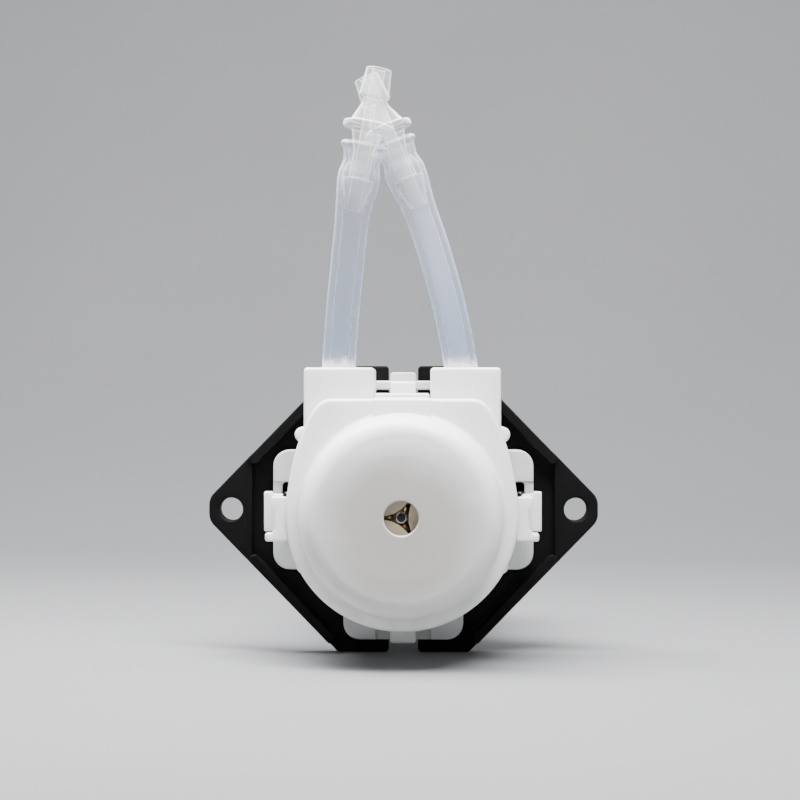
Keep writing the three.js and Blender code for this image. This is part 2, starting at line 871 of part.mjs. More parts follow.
function add(name, geometry, finishName) {
  const mesh = new THREE.Mesh(geometry, FINISHES[finishName]());
  mesh.name = name;
  pump.add(mesh);
}

add("mounting_plate", mountingPlate(), "black_plastic");
add("clip_bracket", clipBracket(), "white_plastic");
add("head_housing", headHousing(), "white_plastic");
add("head_cover", headCover(), "white_plastic");
add("latch_left", latch(-1), "white_plastic");
add("latch_right", latch(1), "white_plastic");
add("pump_tube", pumpTube(), "silicone");
add("inlet_connector", barbedConnector(legEnd(legs.left), BARB.leftInTube), "clear_plastic");
add("outlet_connector", barbedConnector(legEnd(legs.right), BARB.rightInTube), "clear_plastic");
add("roller_carrier", rollerCarrier(), "roller_plastic");
for (let i = 0; i < ROLLER.count; i++) {
  add(`roller_${i + 1}`, roller(i), "roller_plastic");
  add(`roller_pin_${i + 1}`, rollerPin(i), "steel");
}
add("motor_shaft", motorShaft(), "steel");
add("motor_can", motorCan(), "zinc_steel");
add("motor_end_cap", motorEndCap(), "cap_plastic");
add("front_bearing", bearing(MOTOR.frontBearing), "bronze");
add("rear_bearing", bearing(MOTOR.rearBearing), "bronze");
add("armature_core", armatureCore(), "steel");
for (let i = 0; i < 3; i++) add(`winding_${i + 1}`, winding(i), "copper");
const commutator = ring(
  SHAFT.radius + SLIM,
  MOTOR.commutatorRadius,
  MOTOR.commutatorRear,
  MOTOR.commutatorFront,
  24,
);
add("commutator", commutator, "copper");
SIDES.forEach((side, i) => {
  add(`magnet_${i + 1}`, magnet(side), "ferrite");
  add(`brush_${i + 1}`, brush(side), "carbon");
  add(`terminal_${i + 1}`, terminal(side), "brass");
  add(`motor_screw_${i + 1}`, motorScrew(side), "zinc_steel");
});

export default pump;
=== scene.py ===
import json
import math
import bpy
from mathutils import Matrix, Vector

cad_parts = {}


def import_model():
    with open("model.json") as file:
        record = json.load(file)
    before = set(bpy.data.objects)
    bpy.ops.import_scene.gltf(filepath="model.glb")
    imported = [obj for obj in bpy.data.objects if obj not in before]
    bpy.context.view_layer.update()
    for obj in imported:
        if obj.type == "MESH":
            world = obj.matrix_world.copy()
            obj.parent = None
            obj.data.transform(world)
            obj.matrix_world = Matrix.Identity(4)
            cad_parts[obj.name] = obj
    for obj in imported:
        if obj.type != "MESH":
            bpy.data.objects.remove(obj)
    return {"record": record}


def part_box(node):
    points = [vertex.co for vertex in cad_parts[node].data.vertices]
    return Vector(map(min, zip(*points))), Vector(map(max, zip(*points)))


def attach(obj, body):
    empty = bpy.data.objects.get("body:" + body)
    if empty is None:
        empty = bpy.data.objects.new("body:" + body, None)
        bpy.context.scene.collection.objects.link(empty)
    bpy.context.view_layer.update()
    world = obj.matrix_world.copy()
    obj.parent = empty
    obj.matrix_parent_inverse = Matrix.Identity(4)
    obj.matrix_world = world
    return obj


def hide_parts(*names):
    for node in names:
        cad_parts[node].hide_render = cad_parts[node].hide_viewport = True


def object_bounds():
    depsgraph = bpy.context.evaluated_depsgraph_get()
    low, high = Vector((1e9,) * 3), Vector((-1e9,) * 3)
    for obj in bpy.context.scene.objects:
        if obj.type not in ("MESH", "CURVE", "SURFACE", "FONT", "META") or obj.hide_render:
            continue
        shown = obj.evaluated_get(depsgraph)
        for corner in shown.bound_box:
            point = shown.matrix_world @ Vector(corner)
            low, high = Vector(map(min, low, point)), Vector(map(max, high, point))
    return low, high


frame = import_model()

# The looks of a small peristaltic pump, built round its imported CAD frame. Pieces are drawn in
# millimetres as (x, up, out): x to the right, up the front of the flange, and out along the shaft
# from the flange's rear face towards the front.

from types import SimpleNamespace

import bmesh
import bpy
from mathutils import Matrix, Vector, geometry

MM = 0.001
cad_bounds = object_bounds()
RECORD = frame["record"]
SIDES = (-1, 1)


# ---- Measures from the frame -------------------------------------------------------------------

def span(node):
    """A CAD node's box in millimetres, as left, right, bottom, top, back and front."""
    low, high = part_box(node)
    return SimpleNamespace(
        left=low.x / MM, right=high.x / MM, bottom=low.z / MM,
        top=high.z / MM, back=-high.y / MM, front=-low.y / MM,
    )


def world(x, up, out):
    return Vector((x, -out, up)) * MM


def body_of_node(node):
    return next(b for b, nodes in RECORD["behaviour"]["bodies"].items() if node in nodes)


PLATE = span("mounting_plate")
BRACKET = span("clip_bracket")
HOUSING = span("head_housing")
COVER = span("head_cover")
SHAFT = span("motor_shaft")
CAN = span("motor_can")
CAP = span("motor_end_cap")


# ---- Outlines ----------------------------------------------------------------------------------

def arc(x, y, radius, start, end, steps):
    """Points along an arc, with its angles in degrees."""
    points = []
    for i in range(steps + 1):
        angle = math.radians(start + (end - start) * i / steps)
        points.append(Vector((x + radius * math.cos(angle), y + radius * math.sin(angle))))
    return points


def circle(x, y, radius, steps=48):
    return arc(x, y, radius, 0, 360, steps)[:-1]


def bend(start, control, end, steps=10):
    """Points along a quadratic curve, without its first one."""
    start, control, end = Vector(start), Vector(control), Vector(end)
    halves = ((i / steps, 1 - i / steps) for i in range(1, steps + 1))
    return [start * b * b + control * 2 * a * b + end * a * a for a, b in halves]


def filleted(corners, closed=True, steps=6):
    """An outline from (x, y, radius) corners, each turned into an arc of that radius."""
    points = []
    count = len(corners)
    for i, (x, y, radius) in enumerate(corners):
        here = Vector((x, y))
        if not radius or (not closed and i in (0, count - 1)):
            points.append(here)
            continue
        before = Vector(corners[i - 1][:2]) - here
        after = Vector(corners[(i + 1) % count][:2]) - here
        half = before.angle(after) / 2
        reach = min(radius / math.tan(half), 0.49 * before.length, 0.49 * after.length)
        middle = (before.normalized() + after.normalized()).normalized()
        centre = here + middle * (reach / math.cos(half))
        first = here + before.normalized() * reach - centre
        last = here + after.normalized() * reach - centre
        turns = (first.slerp(last, k / steps).normalized() for k in range(steps + 1))
        points += [centre + turn * first.length for turn in turns]
    return points


def rectangle(x0, x1, y0, y1, radius=0):
    x0, x1 = sorted((x0, x1))
    y0, y1 = sorted((y0, y1))
    return filleted([(x0, y0, radius), (x1, y0, radius), (x1, y1, radius), (x0, y1, radius)])


def signed_area(loop):
    return sum(a.x * b.y - b.x * a.y for a, b in zip(loop, loop[1:] + loop[:1])) / 2


def inset(loop, distance):
    """A closed loop moved to its left by a distance."""
    moved = []
    count = len(loop)
    for i in range(count):
        a = (loop[i] - loop[i - 1]).normalized()
        b = (loop[(i + 1) % count] - loop[i]).normalized()
        normal = Vector((-a.y - b.y, a.x + b.x)).normalized()
        share = max(normal.dot(Vector((-a.y, a.x))), 0.35)
        moved.append(loop[i] + normal * distance / share)
    return moved


# ---- Meshes ------------------------------------------------------------------------------------

SHARP_ANGLE = 38  # edges turned by more than this stay sharp
MERGE = 1e-4  # points closer than this, in millimetres, become one


def make(name, points, faces):
    """A mesh object with outward faces, shaded smooth except at sharp edges."""
    mesh = bpy.data.meshes.new(name)
    mesh.from_pydata([(x, -out, up) for x, up, out in points], [], faces)
    obj = bpy.data.objects.new(name, mesh)
    bpy.context.scene.collection.objects.link(obj)
    tidy(obj)
    return obj


def tidy(obj):
    """Merges doubled points, turns the faces outwards and shades them smooth."""
    work = bmesh.new()
    work.from_mesh(obj.data)
    bmesh.ops.remove_doubles(work, verts=work.verts, dist=MERGE)
    bmesh.ops.dissolve_degenerate(work, dist=MERGE, edges=work.edges)
    bmesh.ops.recalc_face_normals(work, faces=work.faces)
    for face in work.faces:
        face.smooth = True
    work.to_mesh(obj.data)
    work.free()
    obj.data.set_sharp_from_angle(angle=math.radians(SHARP_ANGLE))
    if "weighted" not in obj.modifiers:
        even = obj.modifiers.new("weighted", "WEIGHTED_NORMAL")
        even.keep_sharp = True
        even.weight = 80


def upright(a, b, c):
    """Places an outline on the front view, with its thickness out along the shaft."""
    return a, b, c


def sideways(a, b, c):
    """Places an outline on the view from above, with its thickness up."""
    return a, c, b


def plate(name, outline, back, front, holes=(), soft=0.25, steps=3, place=upright):
    """A slab with an outline, holes and rounded edges."""
    loops = [outline if signed_area(outline) > 0 else outline[::-1]]
    loops += [hole if signed_area(hole) < 0 else hole[::-1] for hole in holes]
    turns = [math.pi / 2 * i / steps for i in range(steps + 1)]
    edge = [(soft * (1 - math.sin(t)), soft * (1 - math.cos(t))) for t in turns]
    rows = [(shift, back + rise) for shift, rise in edge]
    rows += [(shift, front - rise) for shift, rise in reversed(edge)]
    points, faces, starts = [], [], []
    for loop in loops:
        count = len(loop)
        starts.append((len(points), count))
        first = len(points)
        for shift, out in rows:
            points += [place(p.x, p.y, out) for p in (inset(loop, shift) if shift else loop)]
        for row in range(len(rows) - 1):
            for i in range(count):
                a = first + row * count + i
                b = first + row * count + (i + 1) % count
                faces.append((a, b, b + count, a + count))
    for row in (0, len(rows) - 1):
        index = [first + row * count + i for first, count in starts for i in range(count)]
        flat = [[p.to_3d() for p in inset(loop, rows[row][0])] for loop in loops]
        if len(loops) == 1:
            faces.append(tuple(index))
        else:
            faces += [tuple(index[i] for i in t) for t in geometry.tessellate_polygon(flat)]
    return make(name, points, faces)


def turned(name, profile, facets=96, centre=(0, 0)):
    """A body turned about the shaft's direction, from (radius, out, fillet) corners.

    A profile that starts and ends at radius 0 is closed by the axis, and any other by itself.
    """
    on_axis = profile[0][0] == 0
    line = filleted(profile, closed=not on_axis, steps=5)
    base, axis = Vector((*centre, 0)), Vector((0, 0, 1))
    return spun(name, [(p.x, p.y) for p in line], on_axis, facets, base, axis)


def pillar(name, radius, back, front, facets, centre=(0, 0), near=0, far=0):
    """A solid cylinder along the shaft's direction, with fillets at its back and front rims."""
    profile = [(0, back, 0), (radius, back, near), (radius, front, far), (0, front, 0)]
    return turned(name, profile, facets, centre)


def sleeve(name, bore, radius, back, front, facets, soft_bore, soft):
    """A bush along the shaft's direction, with fillets at the rims of its bore and its outside."""
    profile = [
        (bore, back, soft_bore), (radius, back, soft), (radius, front, soft),
        (bore, front, soft_bore),
    ]
    return turned(name, profile, facets)


def spun(name, line, on_axis, facets, base, axis):
    """Turns a line of (radius, distance) pairs about an axis from a base point."""
    turn = Vector((0, 0, 1)).rotation_difference(axis)
    points, faces, rings = [], [], []
    for radius, distance in line:
        if on_axis and radius < 1e-9:
            rings.append([len(points)] * facets)
            points.append(tuple(base + turn @ Vector((0, 0, distance))))
            continue
        rings.append(list(range(len(points), len(points) + facets)))
        for i in range(facets):
            angle = 2 * math.pi * i / facets
            around = Vector((radius * math.cos(angle), radius * math.sin(angle), distance))
            points.append(tuple(base + turn @ around))
    pairs = list(zip(rings, rings[1:] + rings[:1]))
    for low, high in pairs[:-1] if on_axis else pairs:
        for i in range(facets):
            k = (i + 1) % facets
            corners = []
            for v in (low[i], low[k], high[k], high[i]):
                if v not in corners:
                    corners.append(v)
            if len(corners) > 2:
                faces.append(tuple(corners))
    return make(name, points, faces)


def smooth_route(points, step):
    """Points evenly along a Catmull-Rom curve through the given points."""
    ends = [points[0] * 2 - points[1]] + points + [points[-1] * 2 - points[-2]]
    fine = []
    for p0, p1, p2, p3 in zip(ends, ends[1:], ends[2:], ends[3:]):
        for i in range(12):
            t = i / 12
            fine.append(
                0.5 * (p1 * 2 + (p2 - p0) * t + (p0 * 2 - p1 * 5 + p2 * 4 - p3) * t * t
                       + (p1 * 3 - p0 - p2 * 3 + p3) * t ** 3)
            )
    fine.append(points[-1].copy())
    lengths = [0]
    for a, b in zip(fine, fine[1:]):
        lengths.append(lengths[-1] + (b - a).length)
    count = max(2, round(lengths[-1] / step))
    route, k = [], 0
    for i in range(count + 1):
        wanted = lengths[-1] * i / count
        while k < len(fine) - 2 and lengths[k + 1] < wanted:
            k += 1
        share = (wanted - lengths[k]) / (lengths[k + 1] - lengths[k])
        route.append(fine[k].lerp(fine[k + 1], min(share, 1)))
    return route


def frames_along(route):
    """The two cross directions at each point of a route, carried along without twist."""
    count = len(route)
    tangents = []
    for i in range(count):
        after, before = route[min(i + 1, count - 1)], route[max(i - 1, 0)]
        tangents.append((after - before).normalized())
    outwards = Vector((0, 0, 1))
    frames = []
    for tangent in tangents:
        outwards = (outwards - tangent * outwards.dot(tangent)).normalized()
        frames.append((outwards.cross(tangent).normalized(), outwards.copy()))
    return frames


def skin(name, rings, closed=False):
    """A skin over rings of points, capped at both ends unless the last ring meets the first."""
    faces = []
    rows, count = len(rings), len(rings[0])
    for row in range(rows if closed else rows - 1):
        low, high = row * count, (row + 1) % rows * count
        for i in range(count):
            k = (i + 1) % count
            faces.append((low + i, low + k, high + k, high + i))
    if not closed:
        faces.append(tuple(range(count)))
        faces.append(tuple(range((rows - 1) * count, rows * count)))
    return make(name, [point for ring in rings for point in ring], faces)


def placed(here, directions, section):
    """A cross-section of (across, outwards) points, at a place with those two directions."""
    across, outwards = directions
    return [tuple(here + across * a + outwards * b) for a, b in section]


def swept(name, route, sections):
    """A skin over cross-sections along a route."""
    return skin(name, [placed(*row) for row in zip(route, frames_along(route), sections)])


def round_section(radius, count=40):
    return [(p.x, p.y) for p in circle(0, 0, radius, count)]


def evaluate(obj):
    """Applies the object's modifiers."""
    depsgraph = bpy.context.evaluated_depsgraph_get()
    mesh = bpy.data.meshes.new_from_object(obj.evaluated_get(depsgraph))
    old = obj.data
    obj.modifiers.clear()
    obj.data = mesh
    bpy.data.meshes.remove(old)


def combine(obj, others, operation):
    obj.modifiers.clear()
    for other in others:
        other.modifiers.clear()
        step = obj.modifiers.new(operation, "BOOLEAN")
        step.operation = operation
        step.object = other
        step.solver = "MANIFOLD"
        evaluate(obj)
    for other in others:
        bpy.data.objects.remove(other)
    tidy(obj)
    return obj


def fuse(obj, *others):
    return combine(obj, others, "UNION")


def carve(obj, *others):
    return combine(obj, others, "DIFFERENCE")


def gather(name, objects):
    """Joins separate solids into one object."""
    work = bmesh.new()
    for obj in objects:
        work.from_mesh(obj.data)
    mesh = bpy.data.meshes.new(name)
    work.to_mesh(mesh)
    work.free()
    joined = bpy.data.objects.new(name, mesh)
    bpy.context.scene.collection.objects.link(joined)
    for obj in objects:
        bpy.data.objects.remove(obj)
    tidy(joined)
    return joined


# ---- Materials ---------------------------------------------------------------------------------

class Shader:
    """A Principled material and the nodes that vary it over the surface."""

    def __init__(self, name, **sockets):
        self.material = bpy.data.materials.new(name)
        self.material.use_nodes = True
        self.tree = self.material.node_tree
        self.surface = self.fill(self.tree.nodes["Principled BSDF"], sockets)
        self.place = self.tree.nodes.new("ShaderNodeTexCoord").outputs["Object"]
        self.height = None

    @staticmethod
    def fill(node, sockets):
        for socket, value in sockets.items():
            node.inputs[socket.replace("_", " ")].default_value = value
        return node

    def node(self, kind, **sockets):
        return self.fill(self.tree.nodes.new("ShaderNode" + kind), sockets)

    def link(self, source, target):
        self.tree.links.new(source, target)

    def noise(self, size, stretch=(1, 1, 1), detail=3, distortion=0):
        """Noise whose features are about size millimetres."""
        node = self.node(
            "TexNoise", Scale=1 / (size * MM), Detail=detail, Distortion=distortion,
        )
        scale = self.node("Mapping", Scale=stretch)
        self.link(self.place, scale.inputs["Vector"])
        self.link(scale.outputs["Vector"], node.inputs["Vector"])
        return node.outputs["Fac"]

    def ramp(self, value, stops):
        """A colour ramp from (position, colour) stops."""
        node = self.node("ValToRGB")
        elements = node.color_ramp.elements
        while len(elements) < len(stops):
            elements.new(0.5)
        for element, (position, colour) in zip(elements, stops):
            element.position = position
            element.color = (*colour, 1)
        self.link(value, node.inputs["Fac"])
        return node.outputs["Color"]

    def spread(self, value, low, high, start=0.3, end=0.7):
        """Stretches a value that runs from start to end, so that it runs from low to high."""
        node = self.node("MapRange", From_Min=start, From_Max=end, To_Min=low, To_Max=high)
        self.link(value, node.inputs["Value"])
        return node.outputs["Result"]

    def rise(self, low, high):
        """How far up a point lies between two heights in millimetres, from 0 to 1."""
        axes = self.node("SeparateXYZ")
        self.link(self.place, axes.inputs["Vector"])
        return self.spread(axes.outputs["Z"], 0, 1, low * MM, high * MM)

    def from_axis(self, radius):
        """How far a point lies from the shaft's axis, from 0 on it to 1 at a radius."""
        flat = self.node("Mapping", Scale=(1 / (radius * MM), 0, 1 / (radius * MM)))
        self.link(self.place, flat.inputs["Vector"])
        length = self.node("VectorMath")
        length.operation = "LENGTH"
        self.link(flat.outputs["Vector"], length.inputs[0])
        return length.outputs["Value"]

    def calculate(self, operation, first, second):
        node = self.node("Math")
        node.operation = operation
        for socket, value in zip(node.inputs, (first, second)):
            if isinstance(value, (int, float)):
                socket.default_value = value
            else:
                self.link(value, socket)
        return node.outputs["Value"]

    def colour(self, value):
        self.link(value, self.surface.inputs["Base Color"])

    def roughness(self, value):
        self.link(value, self.surface.inputs["Roughness"])

    def relief(self, value, depth):
        """Raises and sinks the surface by about depth millimetres, over any earlier relief."""
        node = self.node("Bump", Distance=depth * MM, Strength=1)
        self.link(value, node.inputs["Height"])
        if self.height:
            self.link(self.height, node.inputs["Normal"])
        self.height = node.outputs["Normal"]
        self.link(self.height, self.surface.inputs["Normal"])

    def mould_finish(self, rough, grain, grain_size=0.12):
        """The uneven gloss, fine grain and slight waves that a mould leaves."""
        self.roughness(self.spread(self.noise(1.6), rough - 0.05, rough + 0.07))
        self.relief(self.noise(grain_size, detail=2), grain)
        self.relief(self.noise(3.5, detail=1), grain * 2.5)


def tint(colour, factor):
    return tuple(c * factor for c in colour)


def moulded(name, colour, rough, cloud=0.06, grain=0.004, grain_size=0.12, **sockets):
    """Moulded plastic: a faint cloudiness from the flow, and a fine grain from the mould."""
    shader = Shader(name, **sockets)
    flow = shader.noise(5, stretch=(1, 0.6, 1.3), distortion=1.2)
    stops = [(0.3, tint(colour, 1 - cloud)), (0.7, tint(colour, 1 + cloud * 0.4))]
    shader.colour(shader.ramp(flow, stops))
    shader.mould_finish(rough, grain, grain_size)
    return shader.material


def painted_shade_dome(name, stops, rough, **sockets):
    """White plastic over the hollow head, with painted shade: greyer near its axis (partly the dark
    hollow behind, partly painted shade) and towards its foot (painted shade) than at its rim.
    """
    shader = Shader(name, **sockets)
    flow = shader.calculate("MULTIPLY", shader.noise(9, stretch=(1, 0.6, 1.3), distortion=1), 0.2)
    # Painted shade: darker towards the bottom of the head.
    painted_foot_shade = shader.calculate("MULTIPLY", shader.rise(-14, 14), 0.34)
    level = shader.calculate("ADD", shader.from_axis(18), shader.calculate("ADD", flow, painted_foot_shade))
    shader.colour(shader.ramp(level, stops))
    shader.mould_finish(rough, 0.002)
    return shader.material


def translucent(name, stops, rough, facing, edge):
    """A milky see-through plastic, which lets less light through where it is seen edge-on.

    Its colour changes up its length, from the block's top to the connectors' rims. Just above the block
    it is painted white and nearly opaque, a painted highlight.
    """
    shader = Shader(name, Specular_IOR_Level=0.7)
    top = HOUSING.top
    waves = shader.calculate("MULTIPLY", shader.noise(1.3, stretch=(1, 1, 0.7)), 0.05)
    level = shader.calculate("ADD", shader.rise(top, top + 40), waves)
    shader.colour(shader.ramp(level, stops))
    shader.roughness(shader.spread(shader.noise(1.5), rough - 0.05, rough + 0.08))
    shader.relief(shader.noise(1.2, detail=2), 0.03)
    slant = shader.node("LayerWeight", Blend=0.35)
    dense = shader.spread(slant.outputs["Facing"], facing, edge)
    # Painted highlight: white and nearly opaque just above the block's top.
    painted_glint = shader.ramp(level, [(0.03, (0.8, 0.8, 0.8)), (0.07, (0, 0, 0))])
    shader.link(shader.calculate("MAXIMUM", dense, painted_glint), shader.surface.inputs["Alpha"])
    return shader.material


def metal(name, colour, rough, stretch=(1, 1, 1), scratch=0.003, core=None, **sockets):
    """Worked metal: fine lines along the way it was worked, and a slight stain.

    A core is the radius of a near-black disc painted on the shaft's end, a painted dark reflection.
    """
    shader = Shader(name, Metallic=1, **sockets)
    stain_and_painted_reflection = shader.noise(3, detail=4)
    # Inside the core the colour turns near black: a painted dark reflection on the shaft's end.
    if core:
        edge = shader.ramp(shader.from_axis(core), [(0.92, (0, 0, 0)), (1, (1, 1, 1))])
        stain_and_painted_reflection = shader.calculate("MULTIPLY", stain_and_painted_reflection, edge)
    stops = [(0.3, tint(colour, 0.86)), (0.7, colour)]
    if core:
        stops.insert(0, (0.05, tint(colour, 0.08)))
    shader.colour(shader.ramp(stain_and_painted_reflection, stops))
    lines = shader.noise(0.35, stretch=stretch, detail=4)
    shader.roughness(shader.spread(lines, rough - 0.07, rough + 0.1))
    shader.relief(lines, scratch)
    return shader.material


LOOKS = {
    "black_plastic": moulded(
        "black_plastic", (0.0026, 0.0026, 0.003), 0.6, cloud=0.2, grain=0.012, grain_size=0.16,
        Specular_IOR_Level=0.1,
    ),
    "white_plastic": moulded(
        "white_plastic", (0.83, 0.83, 0.815), 0.4, cloud=0.035, grain=0.002,
        Subsurface_Weight=0.3, Subsurface_Scale=1.6 * MM, Subsurface_Radius=(1, 0.95, 0.9),
    ),
    # Greyer than the white plastic: partly the black flange showing through the thin bracket, partly
    # painted shade.
    "shaded_thin_white": moulded(
        "shaded_thin_white", (0.6, 0.607, 0.605), 0.4, cloud=0.05, grain=0.002,
        Subsurface_Weight=0.2, Subsurface_Scale=1 * MM, Subsurface_Radius=(1, 0.95, 0.9),
    ),
    # The cover's greyer middle and darker foot are partly painted shade.
    "cover_plastic": painted_shade_dome(
        "cover_plastic",
        [(0.2, (0.43, 0.415, 0.392)), (0.66, (0.47, 0.457, 0.437)), (0.84, (0.62, 0.61, 0.6)),
         (1, (0.82, 0.82, 0.81))], 0.38,
        Subsurface_Weight=0.3, Subsurface_Scale=1.6 * MM, Subsurface_Radius=(1, 0.95, 0.9),
    ),
    "roller_plastic": moulded(
        "roller_plastic", (0.44, 0.37, 0.27), 0.42, cloud=0.08,
        Subsurface_Weight=0.25, Subsurface_Scale=1.2 * MM, Subsurface_Radius=(1, 0.8, 0.5),
    ),
    # The white first stop of the silicone is a painted highlight where the tube leaves the block.
    "silicone": translucent(
        "silicone", [(0.04, (0.95, 0.96, 0.97)), (0.08, (0.36, 0.47, 0.74)), (0.75, (0.6, 0.65, 0.74))],
        0.28, 0.15, 0.92,
    ),
    "clear_plastic": translucent(
        "clear_plastic", [(0.7, (0.97, 0.975, 0.98)), (1, (0.82, 0.83, 0.85))], 0.2, 0.13, 1,
    ),
    # The steel's core paints a dark reflection on the shaft's end.
    "steel": metal("steel", (0.66, 0.65, 0.63), 0.24, stretch=(1, 8, 1), core=0.64),
    "zinc_steel": metal("zinc_steel", (0.56, 0.57, 0.58), 0.36, stretch=(1.6, 0.5, 1.6), scratch=0.0008),
    "bronze": metal("bronze", (0.45, 0.29, 0.13), 0.42),
    "copper": metal("copper", (0.72, 0.28, 0.12), 0.3),
    "brass": metal("brass", (0.72, 0.62, 0.40), 0.3, stretch=(1, 0.2, 1)),
    "ferrite": moulded("ferrite", (0.035, 0.035, 0.038), 0.7, cloud=0.2, grain=0.02),
    "carbon": moulded("carbon", (0.014, 0.014, 0.015), 0.75, cloud=0.3, grain=0.02),
    "cap_plastic": moulded(
        "cap_plastic", (0.02, 0.022, 0.026), 0.48, cloud=0.2, grain=0.012, grain_size=0.16,
    ),
}


def to_metres(obj):
    obj.data.transform(Matrix.Scale(MM, 4))


def finish_piece(obj, node, look, name=None):
    """Gives a piece its material, its body, and the CAD node that it stands for."""
    obj.name = name or node + "_shape"
    to_metres(obj)
    obj.data.materials.clear()
    obj.data.materials.append(LOOKS[look])
    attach(obj, body_of_node(node))
    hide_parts(node)
    return obj


# ---- Camera ------------------------------------------------------------------------------------

CAMERA_OUT = 288
CAMERA_X = 3.9
CAMERA_UP = 16
CAMERA_TURN = 0.88
CAMERA_HALF_ANGLE = 11.6

camera_data = bpy.data.cameras.new("camera")
camera_data.sensor_width = 36
camera_data.lens = camera_data.sensor_width / 2 / math.tan(math.radians(CAMERA_HALF_ANGLE))
camera_data.clip_start = 0.01
camera = bpy.data.objects.new("camera", camera_data)
camera.location = world(CAMERA_X, CAMERA_UP, CAMERA_OUT)
camera.rotation_euler = (math.pi / 2, 0, math.radians(CAMERA_TURN))
bpy.context.scene.collection.objects.link(camera)
bpy.context.scene.camera = camera


# ---- Tube and connectors -----------------------------------------------------------------------

# The middle line of each end of the tube, from the race to the rim.
LEFT_LEG = [
    (-10.92, 6.85, 9.4), (-10.4, 10.4, 9.4), (-9.9, 14, 9.4), (-9.45, 17.4, 9.4),
    (-9.15, 20.6, 9.42), (-8.9, 24.2, 9.62), (-8.62, 27.8, 10), (-8.25, 31.5, 10.55),
    (-7.85, 35.2, 11.2), (-7.45, 38.8, 11.9), (-7.01, 42.4, 12.6), (-6.45, 45.5, 13.1),
    (-5.88, 48.6, 13.35), (-5.25, 51.95, 13.4),
]
RIGHT_LEG = [
    (10.92, 6.85, 9.4), (10.3, 10.4, 9.4), (9.6, 14, 9.4), (8.95, 17.4, 9.4),
    (8.36, 20.6, 9.38), (7.75, 24.2, 9.18), (6.99, 27.9, 8.8), (6.08, 31.7, 8.3),
    (5.05, 35.5, 7.7), (3.86, 39.4, 7.05), (2.46, 43.4, 6.45), (1.36, 46.25, 6.1),
    (0, 49.7, 5.93), (-1.44, 53.2, 5.9),
]
TUBE_RADIUS = 2.4
TUBE_PLANE = LEFT_LEG[0][2]
SQUEEZED_HALF = 1.06
QUARTER_GIRTH = 3.77  # of the round tube
QUARTER_TURN = 1.571
RACE_PATH_RADIUS = 11.75
LEAVE_ANGLE = 7.8
FIRST_FREE = 2  # the leg's point, inside the block, where the free end's own piece begins
LEFT_IN_TUBE = 9.4  # how far each connector goes into the tube
RIGHT_IN_TUBE = 10

# The free end's outer radius at distances from its rim, stretched over the connector's barb.
CUFF = [
    (0, 3.3), (0.25, 3.42), (0.55, 3.35), (0.8, 3.0), (1.5, 2.78), (2.6, 2.62), (3.4, 2.78),
    (4.2, 3.0), (5.5, 3.0), (6.8, 2.86), (8.2, 2.66), (9.6, 2.5), (11.5, 2.4), (99, 2.4),
]
WALL = 1.0  # the tube's own wall
THIN_WALL = 0.55  # the wall where it is stretched over the barb
LIP = 0.12  # how far the rim's edge is rounded over


def tube_radii(from_end):
    """The tube's outer and inner radius at a distance from its free end."""
    for (near, first), (far, last) in zip(CUFF, CUFF[1:]):
        if from_end <= far:
            share = (from_end - near) / (far - near)
            eased = share * share * (3 - 2 * share)
            outer = first + (last - first) * eased
            break
    stretched = min(max((outer - TUBE_RADIUS) / 0.4, 0), 1)
    return outer, outer - WALL + (WALL - THIN_WALL) * stretched


def leg_pieces(points, side_name, in_tube, connector_node, connector_name):
    """A free end of the tube with its connector."""
    route = smooth_route([Vector(p) for p in points[FIRST_FREE:]], 0.3)
    lengths = [0]
    for a, b in zip(route, route[1:]):
        lengths.append(lengths[-1] + (b - a).length)
    total = lengths[-1]
    radii = [tube_radii(total - along) for along in lengths]
    outside = [round_section(outer) for outer, _ in radii]
    inside = [round_section(inner) for _, inner in radii]
    rim = round_section(radii[-1][0] - LIP)
    rim_inner = round_section(radii[-1][1] + LIP * 0.6)
    tip = route[-1] + (route[-1] - route[-2]).normalized() * LIP
    path = route + [tip, tip] + route[::-1]
    sections = outside + [rim, rim_inner] + inside[::-1]
    frames = frames_along(route)
    frames += [frames[-1], frames[-1]] + frames[::-1]
    rings = [placed(*row) for row in zip(path, frames, sections)]
    tube = skin(f"{side_name}_tube_end", rings, closed=True)
    finish_piece(tube, "pump_tube", "silicone", tube.name)
    direction = (route[-1] - route[-3]).normalized()
    start = route[-1] - direction * in_tube
    connector = barbed_connector(connector_name, start, direction)
    finish_piece(connector, connector_node, "clear_plastic", connector_name)


def barbed_connector(name, start, direction):
    """A straight barbed coupling with a collar, along a direction from the tip in the tube."""
    profile = filleted(
        [
            (0.95, 0, 0.1), (1.2, 0, 0.15), (2.3, 4.1, 0.12), (2.22, 4.42, 0.08),
            (1.45, 4.55, 0.12), (1.45, 8.3, 1.5), (2.25, 11.1, 0.4), (2.35, 11.4, 0.1),
            (3.6, 11.45, 0.3), (3.6, 12.5, 0.3), (2.7, 12.6, 0.4), (1.5, 15.3, 1.2),
            (1.45, 16.1, 0.1), (2.2, 16.2, 0.12), (2.16, 16.5, 0.1), (1.8, 20.3, 0.15),
            (0.95, 20.3, 0.1),
        ],
        steps=4,
    )
    return spun(name, [(p.x, p.y) for p in profile], False, 56, start, direction)


leg_pieces(LEFT_LEG, "left", LEFT_IN_TUBE, "inlet_connector", "inlet_connector_shape")
leg_pieces(RIGHT_LEG, "right", RIGHT_IN_TUBE, "outlet_connector", "outlet_connector_shape")


def stadium(half_height, corner_steps=10):
    """The squeezed tube's section, whose wall is as long as the round tube's."""
    run = QUARTER_GIRTH - QUARTER_TURN * half_height
    ends = arc(0, run, half_height, 0, 180, corner_steps)
    ends += arc(0, -run, half_height, 180, 360, corner_steps)
    return [(p.x, p.y) for p in ends]


